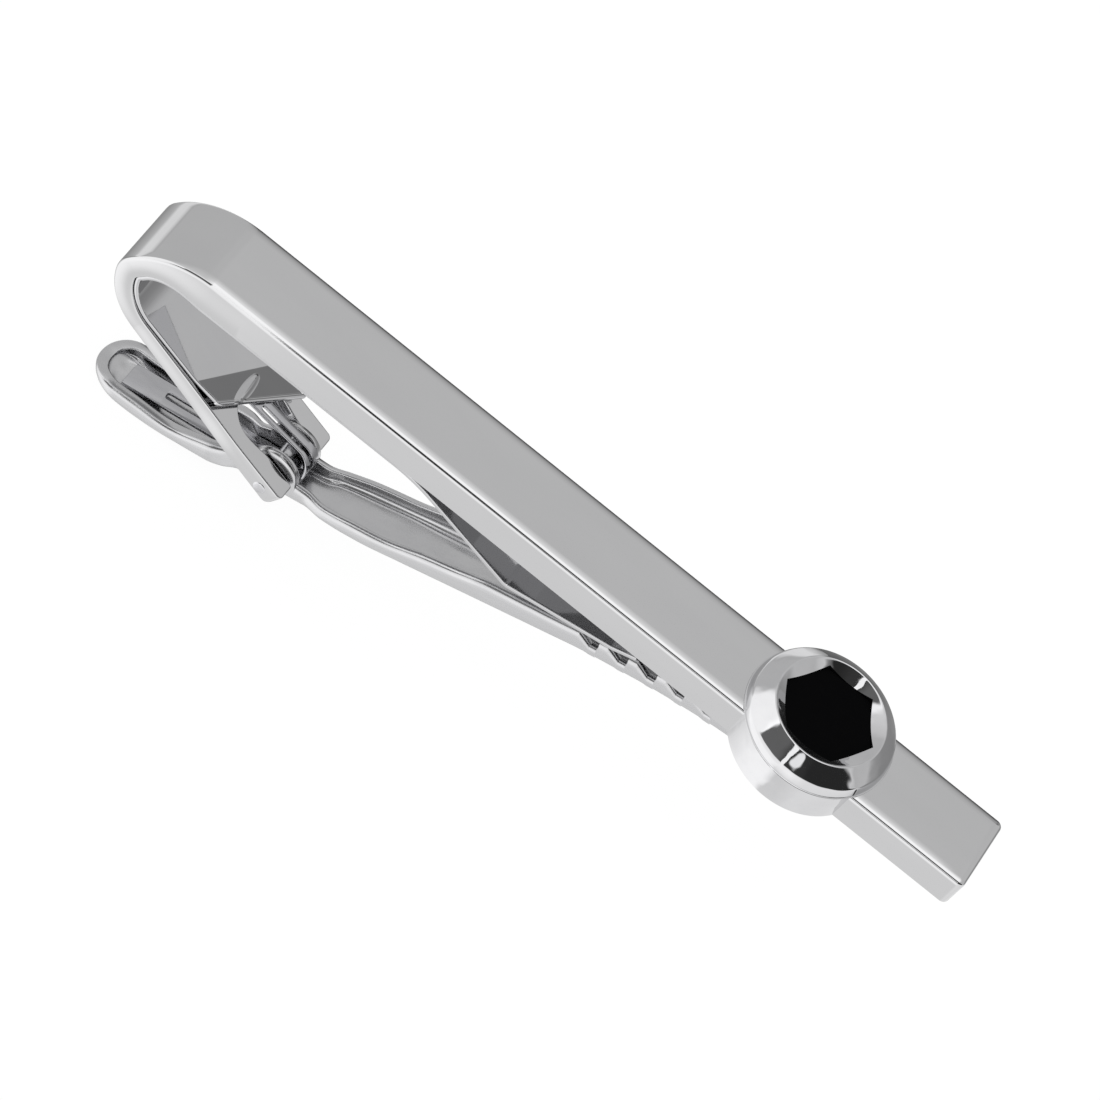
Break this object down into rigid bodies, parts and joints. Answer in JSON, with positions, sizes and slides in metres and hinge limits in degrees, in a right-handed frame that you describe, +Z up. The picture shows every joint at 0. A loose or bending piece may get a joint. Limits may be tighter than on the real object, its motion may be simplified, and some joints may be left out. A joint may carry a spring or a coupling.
{
  "type": "tie clip",
  "caption": "Bright metal tie clip: a bar bent back in a hairpin with a riveted, sprung jaw lever under it, a leaf tongue that holds the tie, and a screw-head collar with a black hexagon.",
  "frame": {"origin": "centre of the bounding box's underside, under the middle of the bar's length and width", "axes": "+X along the bar from the hairpin's nose to the free end with the collar, +Y across the bar, +Z up out of the bar's plain top face, where the collar's rim looks"},
  "size_m": [0.0598, 0.0096, 0.0174],
  "materials": {
    "bar_chrome": "polished, rhodium-bright plating",
    "collar_chrome": "polished, turned",
    "black_enamel": "black epoxy enamel, low gloss",
    "lever_chrome": "pressed and plated, bright",
    "spring_steel": "bright spring strip",
    "pin_steel": "cut and riveted end",
    "leaf_chrome": "bright plated spring leaf"
  },
  "bodies": {
    "clip": {"clip_body": "bar_chrome", "collar": "collar_chrome", "hex_inlay": "black_enamel", "hinge_pin": "pin_steel", "leaf": "leaf_chrome", "lever_spring": "spring_steel"},
    "jaw": {"lever": "lever_chrome"}
  },
  "joints": [
    {"name": "lever_hinge", "type": "hinge", "parent": "clip", "child": "jaw", "pos_m": [-0.01571, 0, 0.00388], "axis": [0, 1, 0], "range_deg": [0, 28], "stiffness_Nm_per_rad": 0.002, "springref_deg": -28.65, "deforming": ["lever_spring"]}
  ]
}
